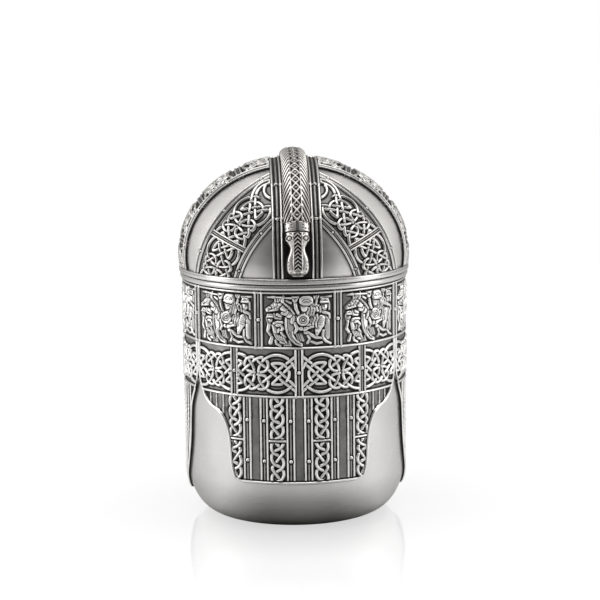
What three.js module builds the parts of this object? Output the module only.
// A covered pewter canister with a domed, helmet-like lid, as an assembly of separate castings.
// Millimetres, +Z up. The origin is the centre of the flat face that the canister stands on,
// and the front, where the crest ends in the front dragon head, faces -Y.
import * as THREE from "three";

// ---- Driving dimensions ----
const WALL_RADIUS = 44.0; // outside of the plain vessel wall
const WALL = 1.6; // cast wall, vessel and dome alike
const GAP = 0.3; // solder or running clearance between two pieces
const FOOT_RADIUS = 31.0; // edge of the flat the canister stands on
const CORNER_RISE = 18.8; // height of the rounded corner above the foot
const BODY_TOP = 95.5; // upper edge of the vessel wall
const APRON_TOP = 54.3; // line between the interlace row and the aprons
const FRIEZE_BOTTOM = 73.45; // line between the interlace row and the frieze
const PLATE = 1.0; // thickness of the ornamental plates
const PLATE_SPAN = 120; // degrees; three plates close the circle
const SEAM = 0.25; // degrees left open at each end of a plate
const LID_BOTTOM = 98.25; // lower face of the lid's rim
const RIM_TOP = 100.45; // upper face of the lid's rim
const RIM_RADIUS = 46.3;
const DOME_RADIUS = 45.4; // plain fields of the dome at its widest
const DOME_CENTRE = 105.2; // height of that widest circle
const DOME_RISE = 37.6; // from there to the top of the plain dome
const BAND = 0.9; // thickness of the bands soldered on the dome
const CREST_HALF_WIDTH = 5.0;
const CREST_HEIGHT = 4.2; // ridge of the crest above the plain dome
const STRIP_INNER = 5.3; // fluted strips beside the crest, from the centre plane
const STRIP_OUTER = 9.5;
const BAND_HALF_WIDTH = 15.2; // band that crosses the dome from side to side
const COLLAR_RADIUS = 41.4; // outside of the collar that locates the lid
const COLLAR_BOTTOM = 86.0;
const COLLAR_TOP = 103.5;
const SEGMENTS = 48; // facets round a full turn

const RAD = Math.PI / 180;

// ---- Materials ----
function metal(color, roughness) {
  return new THREE.MeshStandardMaterial({ color, roughness, metalness: 1 });
}

const SATIN = metal(0xb4b3b0, 0.42);
const POLISHED = metal(0xc9c8c5, 0.25);
const ANTIQUED = metal(0x74736f, 0.5);
const SILICONE = new THREE.MeshStandardMaterial({ color: 0xd8d6d0, roughness: 0.7, metalness: 0 });

// ---- Solids ----
// A turned piece: the profile is [radius, height] points that start and end on the axis,
// or that close on themselves.
function turned(name, profile, material) {
  const points = profile.map(([radius, height]) => new THREE.Vector2(radius, height));
  const geometry = new THREE.LatheGeometry(points, SEGMENTS);
  geometry.rotateX(Math.PI / 2);
  return named(name, outward(geometry), material);
}

// A turned ring: the same, for a profile that closes on itself.
function ring(name, profile, material) {
  return turned(name, [...profile, profile[0]], material);
}

// A closed sheet: an inner and an outer skin over a grid of columns and rows, joined at the
// edges. skin(s, t, outer) gives a point for s and t from 0 to 1.
function sheet(name, columns, rows, skin, material) {
  const across = columns + 1;
  const perSkin = across * (rows + 1);
  const positions = [];
  for (const outer of [true, false]) {
    for (let row = 0; row <= rows; row++) {
      for (let column = 0; column <= columns; column++) {
        positions.push(...skin(column / columns, row / rows, outer).toArray());
      }
    }
  }
  const index = [];
  const quad = (a, b, c, d) => index.push(a, b, c, a, c, d);
  for (let row = 0; row < rows; row++) {
    for (let column = 0; column < columns; column++) {
      const a = row * across + column;
      quad(a, a + 1, a + across + 1, a + across);
      quad(perSkin + a, perSkin + a + across, perSkin + a + across + 1, perSkin + a + 1);
    }
  }
  const rim = outline(columns, rows);
  rim.forEach((from, i) => {
    const to = rim[(i + 1) % rim.length];
    quad(from, perSkin + from, perSkin + to, to);
  });
  const geometry = new THREE.BufferGeometry();
  geometry.setAttribute("position", new THREE.Float32BufferAttribute(positions, 3));
  geometry.setIndex(index);
  return named(name, outward(geometry), material);
}

// The grid's outer vertices, in order round its edge.
function outline(columns, rows) {
  const across = columns + 1;
  const rim = [];
  for (let column = 0; column < columns; column++) rim.push(column);
  for (let row = 0; row < rows; row++) rim.push(row * across + columns);
  for (let column = columns; column > 0; column--) rim.push(rows * across + column);
  for (let row = rows; row > 0; row--) rim.push(row * across);
  return rim;
}

// Turns a closed geometry's faces outward, by the sign of its volume.
function outward(geometry) {
  const position = geometry.getAttribute("position");
  const index = geometry.getIndex().array;
  const corner = [new THREE.Vector3(), new THREE.Vector3(), new THREE.Vector3()];
  let volume = 0;
  for (let i = 0; i < index.length; i += 3) {
    corner.forEach((point, k) => point.fromBufferAttribute(position, index[i + k]));
    volume += corner[0].dot(corner[1].clone().cross(corner[2]));
  }
  if (volume < 0) {
    for (let i = 0; i < index.length; i += 3) {
      [index[i], index[i + 1]] = [index[i + 1], index[i]];
    }
  }
  geometry.computeVertexNormals();
  return geometry;
}

function named(name, geometry, material) {
  const mesh = new THREE.Mesh(geometry, material);
  mesh.name = name;
  return mesh;
}

// A smooth curve through [place, value] points that never overshoots them.
function smoothCurve(points) {
  const rise = points.slice(1).map(([x, y], i) => (y - points[i][1]) / (x - points[i][0]));
  const slope = points.map((_, i) => {
    const before = rise[i - 1] ?? 0;
    const after = rise[i] ?? 0;
    return before * after > 0 ? (2 * before * after) / (before + after) : 0;
  });
  return (place) => {
    const x = THREE.MathUtils.clamp(place, points[0][0], points.at(-1)[0]);
    const i = Math.max(1, points.findIndex(([end]) => end >= x)) - 1;
    const span = points[i + 1][0] - points[i][0];
    const u = (x - points[i][0]) / span;
    const start = points[i][1] * (1 + 2 * u) * (1 - u) ** 2 + slope[i] * span * u * (1 - u) ** 2;
    const end = points[i + 1][1] * (3 - 2 * u) * u ** 2 + slope[i + 1] * span * (u - 1) * u ** 2;
    return start + end;
  };
}

// ---- Vessel ----
// Outside radius of the plain wall at a height: a quarter ellipse above the foot, then straight.
function wallRadius(height, inset = 0) {
  const rise = CORNER_RISE - inset;
  const drop = THREE.MathUtils.clamp((CORNER_RISE - height) / rise, 0, 1);
  return FOOT_RADIUS + (WALL_RADIUS - inset - FOOT_RADIUS) * Math.sqrt(1 - drop * drop);
}

const FLOOR = 2.0; // thickness of the bottom
const DISC_RADIUS = 26.0; // disc let into the bottom of the wall
const CORNER_STEPS = 5;

// The wall's corner from the foot up, outside or inside.
function cornerProfile(inset, bottom) {
  const profile = [];
  for (let step = 0; step <= CORNER_STEPS; step++) {
    const turn = (step / CORNER_STEPS) * (Math.PI / 2);
    const height = CORNER_RISE - (CORNER_RISE - bottom) * Math.cos(turn);
    const width = WALL_RADIUS - inset - FOOT_RADIUS;
    profile.push([FOOT_RADIUS + width * Math.sin(turn), height]);
  }
  return profile;
}

function vesselWall() {
  return ring(
    "vessel_wall",
    [
      [DISC_RADIUS + GAP, 0],
      ...cornerProfile(0, 0),
      [WALL_RADIUS, APRON_TOP],
      [WALL_RADIUS, BODY_TOP],
      [WALL_RADIUS - WALL, BODY_TOP],
      [WALL_RADIUS - WALL, APRON_TOP],
      ...cornerProfile(WALL, FLOOR).reverse(),
      [DISC_RADIUS + GAP, FLOOR],
    ],
    SATIN,
  );
}

function baseDisc() {
  return turned("base_disc", [[0, 0], [DISC_RADIUS, 0], [DISC_RADIUS, FLOOR], [0, FLOOR]], SATIN);
}

// Bright half-round ring on top of the wall, under the lid.
function mouthRing() {
  const bottom = BODY_TOP + GAP;
  const height = LID_BOTTOM - GAP - bottom;
  const inside = COLLAR_RADIUS + GAP;
  const profile = [[inside, bottom + height], [inside, bottom]];
  const steps = 4;
  const bulge = 0.9;
  for (let step = 0; step <= steps; step++) {
    const turn = (step / steps) * Math.PI;
    profile.push([45.0 + bulge * Math.sin(turn), bottom + height * (1 - Math.cos(turn)) / 2]);
  }
  return ring("mouth_ring", profile, POLISHED);
}

function mouthCollar() {
  const inside = COLLAR_RADIUS - WALL;
  return ring(
    "mouth_collar",
    [
      [COLLAR_RADIUS, COLLAR_BOTTOM],
      [COLLAR_RADIUS, COLLAR_TOP],
      [inside, COLLAR_TOP],
      [inside, COLLAR_BOTTOM],
    ],
    SATIN,
  );
}

// A plate bent round the wall. bottom(angle) is its lower edge, in degrees from its middle.
function wallPlate(name, middle, top, bottom, columns, rows) {
  const half = PLATE_SPAN / 2 - SEAM;
  return sheet(
    name,
    columns,
    rows,
    (s, t, outer) => {
      const angle = THREE.MathUtils.lerp(-half, half, s);
      const height = THREE.MathUtils.lerp(bottom(angle), top, t * t); // rows close up at the corner
      const radius = wallRadius(height) + GAP + (outer ? PLATE : 0);
      const turn = (middle + angle) * RAD;
      return new THREE.Vector3(radius * Math.sin(turn), -radius * Math.cos(turn), height);
    },
    ANTIQUED,
  );
}

// Lower edges of the aprons: degrees from the middle, and height.
const frontApronEdge = smoothCurve([
  [0, 19.5],
  [29, 19.5],
  [35, 21.4],
  [37.1, 27],
  [38.5, 38.3],
  [40.6, 43],
  [43, 45.4],
  [46.4, 47.1],
  [50.9, 48.8],
  [53.9, 50.8],
  [56.4, 53],
  [60, 53.4],
]);
const sideApronEdge = smoothCurve([
  [0, 7.6],
  [27, 7.6],
  [33, 8.8],
  [37.5, 12],
  [41.5, 17],
  [45.5, 23.5],
  [49, 32.5],
  [51, 45],
  [53.5, 49.5],
  [60, 53],
]);

const PLATES = [
  { side: "front", middle: 0, apronEdge: frontApronEdge },
  { side: "right", middle: 120, apronEdge: sideApronEdge },
  { side: "left", middle: 240, apronEdge: sideApronEdge },
];

function wallPlates() {
  return PLATES.flatMap(({ side, middle, apronEdge }) => [
    wallPlate(`${side}_frieze`, middle, BODY_TOP, () => FRIEZE_BOTTOM + GAP / 2, 16, 1),
    wallPlate(`${side}_interlace`, middle, FRIEZE_BOTTOM - GAP / 2, () => APRON_TOP + GAP / 2, 16, 1),
    wallPlate(`${side}_apron`, middle, APRON_TOP - GAP / 2, (angle) => apronEdge(Math.abs(angle)), 24, 6),
  ]);
}

// ---- Lid ----
// Profile of the dome, from its lower edge to the axis, inset from the plain outside.
function domeProfile(inset, bottom) {
  const radius = DOME_RADIUS - inset;
  const rise = DOME_RISE - inset;
  const start = Math.asin((bottom - DOME_CENTRE) / rise);
  const steps = 8;
  const profile = [];
  for (let step = 0; step <= steps; step++) {
    const turn = THREE.MathUtils.lerp(start, Math.PI / 2, step / steps);
    profile.push([step === steps ? 0 : radius * Math.cos(turn), DOME_CENTRE + rise * Math.sin(turn)]);
  }
  return profile;
}

function lidDome() {
  const bottom = RIM_TOP + GAP;
  return turned("lid_dome", [...domeProfile(WALL, bottom).reverse(), ...domeProfile(0, bottom)], SATIN);
}

function lidRim() {
  const inside = DOME_RADIUS - WALL - 0.2;
  const edge = 0.4;
  return ring(
    "lid_rim",
    [
      [inside, LID_BOTTOM],
      [RIM_RADIUS - edge, LID_BOTTOM],
      [RIM_RADIUS, LID_BOTTOM + edge],
      [RIM_RADIUS, RIM_TOP - edge],
      [RIM_RADIUS - edge, RIM_TOP],
      [inside, RIM_TOP],
    ],
    POLISHED,
  );
}

// The dome is a sphere squashed along Z. In the unsquashed sphere, a band is the part between
// two parallel planes. It runs round the planes' normal, from one angle to another.
const SQUASH = DOME_RISE / DOME_RADIUS;

function domeBand(normal, along) {
  const n = new THREE.Vector3(normal[0], normal[1], normal[2] * SQUASH);
  const stretch = n.length();
  n.normalize();
  const e1 = new THREE.Vector3(along[0], along[1], along[2] / SQUASH);
  e1.addScaledVector(n, -e1.dot(n)).normalize();
  const e2 = new THREE.Vector3().crossVectors(e1, n);
  if (e2.z < 0) e2.negate();
  const radiusAt = (offset) => Math.sqrt(DOME_RADIUS ** 2 - (offset / stretch) ** 2);
  return {
    // A point at an offset across the band, an angle along it and a height above the dome.
    point(offset, angle, height) {
      const radius = radiusAt(offset);
      const p = n.clone().multiplyScalar(offset / stretch);
      p.addScaledVector(e1, radius * Math.cos(angle)).addScaledVector(e2, radius * Math.sin(angle));
      const surface = new THREE.Vector3(p.x, p.y, p.z * SQUASH);
      const up = new THREE.Vector3(p.x, p.y, p.z / SQUASH).normalize();
      return surface.addScaledVector(up, height).add(new THREE.Vector3(0, 0, DOME_CENTRE));
    },
    // The angles at which the line at an offset meets the plane where one coordinate has a value.
    meets(offset, axis, value) {
      const radius = radiusAt(offset) * Math.hypot(e1[axis], e2[axis]);
      const middle = Math.atan2(e2[axis], e1[axis]);
      const half = Math.acos((value - (n[axis] * offset) / stretch) / radius);
      return [middle - half, middle + half];
    },
  };
}

const LOWER_EDGE = (RIM_TOP + GAP - DOME_CENTRE) / SQUASH; // in the unsquashed sphere
const STRIP_EDGE = STRIP_OUTER + GAP;

// Which way each quarter of the dome lies.
const QUARTERS = [
  { name: "front_left", x: -1, y: -1 },
  { name: "front_right", x: 1, y: -1 },
  { name: "back_left", x: -1, y: 1 },
  { name: "back_right", x: 1, y: 1 },
];
const DIAGONAL_NORMAL = [0.55, -0.74, 0.39]; // for the quarter where x and y are positive
const DIAGONAL_MIDDLE = [0.707, 0.661, 0.258]; // direction of the band's cross strip
const DIAGONAL_FROM = -19.3; // the band's edges along its normal
const DIAGONAL_TO = 3.6;

function diagonalBand({ name, x, y }) {
  const band = domeBand(DIAGONAL_NORMAL, DIAGONAL_MIDDLE);
  const mirror = new THREE.Vector3(x, y, 1);
  return sheet(
    `${name}_band`,
    10,
    4,
    (s, t, outer) => {
      const offset = THREE.MathUtils.lerp(DIAGONAL_FROM, DIAGONAL_TO, t);
      const low = band.meets(offset, "z", LOWER_EDGE)[0];
      const high = band.meets(offset, "x", STRIP_EDGE)[1];
      const angle = THREE.MathUtils.lerp(low, high, s);
      return band.point(offset, angle, GAP + (outer ? BAND : 0)).multiply(mirror);
    },
    ANTIQUED,
  );
}

function sideBand(name, x) {
  const band = domeBand([0, 1, 0], [1, 0, 0]);
  const mirror = new THREE.Vector3(x, 1, 1);
  return sheet(
    name,
    10,
    4,
    (s, t, outer) => {
      const offset = THREE.MathUtils.lerp(-BAND_HALF_WIDTH, BAND_HALF_WIDTH, t);
      const low = band.meets(offset, "z", LOWER_EDGE)[0];
      const high = band.meets(offset, "x", STRIP_EDGE)[1];
      const angle = THREE.MathUtils.lerp(low, high, s);
      return band.point(offset, angle, GAP + (outer ? BAND : 0)).multiply(mirror);
    },
    ANTIQUED,
  );
}

const CREST_LINE = domeBand([1, 0, 0], [0, -1, 0]); // front to back over the top
const CREST_END = 24.6 * RAD; // above the widest circle, where a dragon head begins
const NOSE_END = -5.2 * RAD;

function crestStrip(name, side) {
  return sheet(
    name,
    24,
    1,
    (s, t, outer) => {
      const offset = side * THREE.MathUtils.lerp(STRIP_INNER, STRIP_OUTER, t);
      const low = CREST_LINE.meets(offset, "z", LOWER_EDGE)[0];
      const angle = THREE.MathUtils.lerp(low, Math.PI - low, s);
      return CREST_LINE.point(offset, angle, GAP + (outer ? BAND + 0.1 : 0));
    },
    ANTIQUED,
  );
}

// Height of a half-round bar above the dome at a share of its half width from the middle.
function roundedHeight(share, ridge) {
  const edge = 0.9;
  return edge + (ridge - edge) * Math.sqrt(1 - Math.min(1, share * share));
}

function crest() {
  return sheet(
    "crest",
    20,
    6,
    (s, t, outer) => {
      const share = 2 * t - 1;
      const angle = THREE.MathUtils.lerp(CREST_END, Math.PI - CREST_END, s);
      const height = outer ? roundedHeight(share, CREST_HEIGHT) : GAP;
      return CREST_LINE.point(share * CREST_HALF_WIDTH, angle, height);
    },
    POLISHED,
  );
}

// A dragon head lies on the crest line, nose down: half width and ridge height from nose to brow.
const headHalfWidth = smoothCurve([
  [0, 2.2],
  [0.12, 4.2],
  [0.3, 4.2],
  [0.55, 2.5],
  [0.72, 4.4],
  [1, 4.4],
]);
const headHeight = smoothCurve([
  [0, 1.8],
  [0.12, 3.4],
  [0.3, 3.2],
  [0.55, 2.6],
  [0.72, 3.9],
  [1, 4.0],
]);

function dragonHead(name, y) {
  const mirror = new THREE.Vector3(1, y, 1);
  const brow = CREST_END - GAP / DOME_RADIUS;
  return sheet(
    name,
    12,
    6,
    (s, t, outer) => {
      const share = 2 * t - 1;
      const height = outer ? roundedHeight(share, headHeight(s)) : GAP;
      const angle = THREE.MathUtils.lerp(NOSE_END, brow, s);
      const point = CREST_LINE.point(share * headHalfWidth(s), angle, height);
      return point.multiply(mirror);
    },
    POLISHED,
  );
}

// ---- Gasket and inner lid ----
// Ring between the collar and the lid's rim, carried by the lid.
function lidGasket() {
  const inside = COLLAR_RADIUS + GAP;
  const outside = DOME_RADIUS - WALL - 0.2 - GAP;
  return ring(
    "lid_gasket",
    [[inside, 98.6], [outside, 98.6], [outside, 101.2], [inside, 101.2]],
    SILICONE,
  );
}

const PLUG_RADIUS = 38.0; // skirt of the inner lid
const PLUG_BOTTOM = 97.5;
const INNER_LID = 1.3; // thickness of its disc and skirt

function innerLid() {
  const seat = COLLAR_TOP + GAP;
  return turned(
    "inner_lid",
    [
      [0, seat],
      [PLUG_RADIUS - INNER_LID, seat],
      [PLUG_RADIUS - INNER_LID, PLUG_BOTTOM],
      [PLUG_RADIUS, PLUG_BOTTOM],
      [PLUG_RADIUS, seat],
      [COLLAR_RADIUS, seat],
      [COLLAR_RADIUS, seat + INNER_LID],
      [0, seat + INNER_LID],
    ],
    SATIN,
  );
}

function innerLidSeal() {
  const inside = PLUG_RADIUS + GAP;
  const outside = COLLAR_RADIUS - WALL - GAP;
  return ring(
    "inner_lid_seal",
    [[inside, 99.2], [outside, 99.2], [outside, 102.0], [inside, 102.0]],
    SILICONE,
  );
}

// A turned knob: stem, then a flattened ball.
function innerLidKnob() {
  const foot = COLLAR_TOP + GAP + INNER_LID + GAP;
  const stem = 4.0;
  const ball = 7.5;
  const ballHeight = 10.0;
  const profile = [[0, foot], [6.0, foot], [6.0, foot + 0.8], [stem, foot + 1.6]];
  const steps = 6;
  const start = Math.asin(stem / ball);
  for (let step = 0; step < steps; step++) {
    const turn = THREE.MathUtils.lerp(Math.PI - start, 0, step / steps);
    const height = foot + 3.2 + (ballHeight / 2) * (1 + Math.cos(turn) / Math.cos(start));
    profile.push([ball * Math.sin(turn), height]);
  }
  profile.push([0, foot + 3.2 + (ballHeight / 2) * (1 + 1 / Math.cos(start))]);
  return turned("inner_lid_knob", profile, POLISHED);
}

// ---- Assembly ----
const vessel = new THREE.Group();
vessel.add(vesselWall(), baseDisc(), mouthRing(), mouthCollar(), ...wallPlates());

const innerLidGroup = new THREE.Group();
innerLidGroup.add(innerLid(), innerLidSeal(), innerLidKnob());

const lid = new THREE.Group();
lid.add(
  lidDome(),
  lidRim(),
  lidGasket(),
  ...QUARTERS.map(diagonalBand),
  sideBand("left_band", -1),
  sideBand("right_band", 1),
  crestStrip("left_crest_strip", -1),
  crestStrip("right_crest_strip", 1),
  crest(),
  dragonHead("front_dragon_head", 1),
  dragonHead("back_dragon_head", -1),
);

const canister = new THREE.Group();
canister.add(vessel, innerLidGroup, lid);

export default canister;
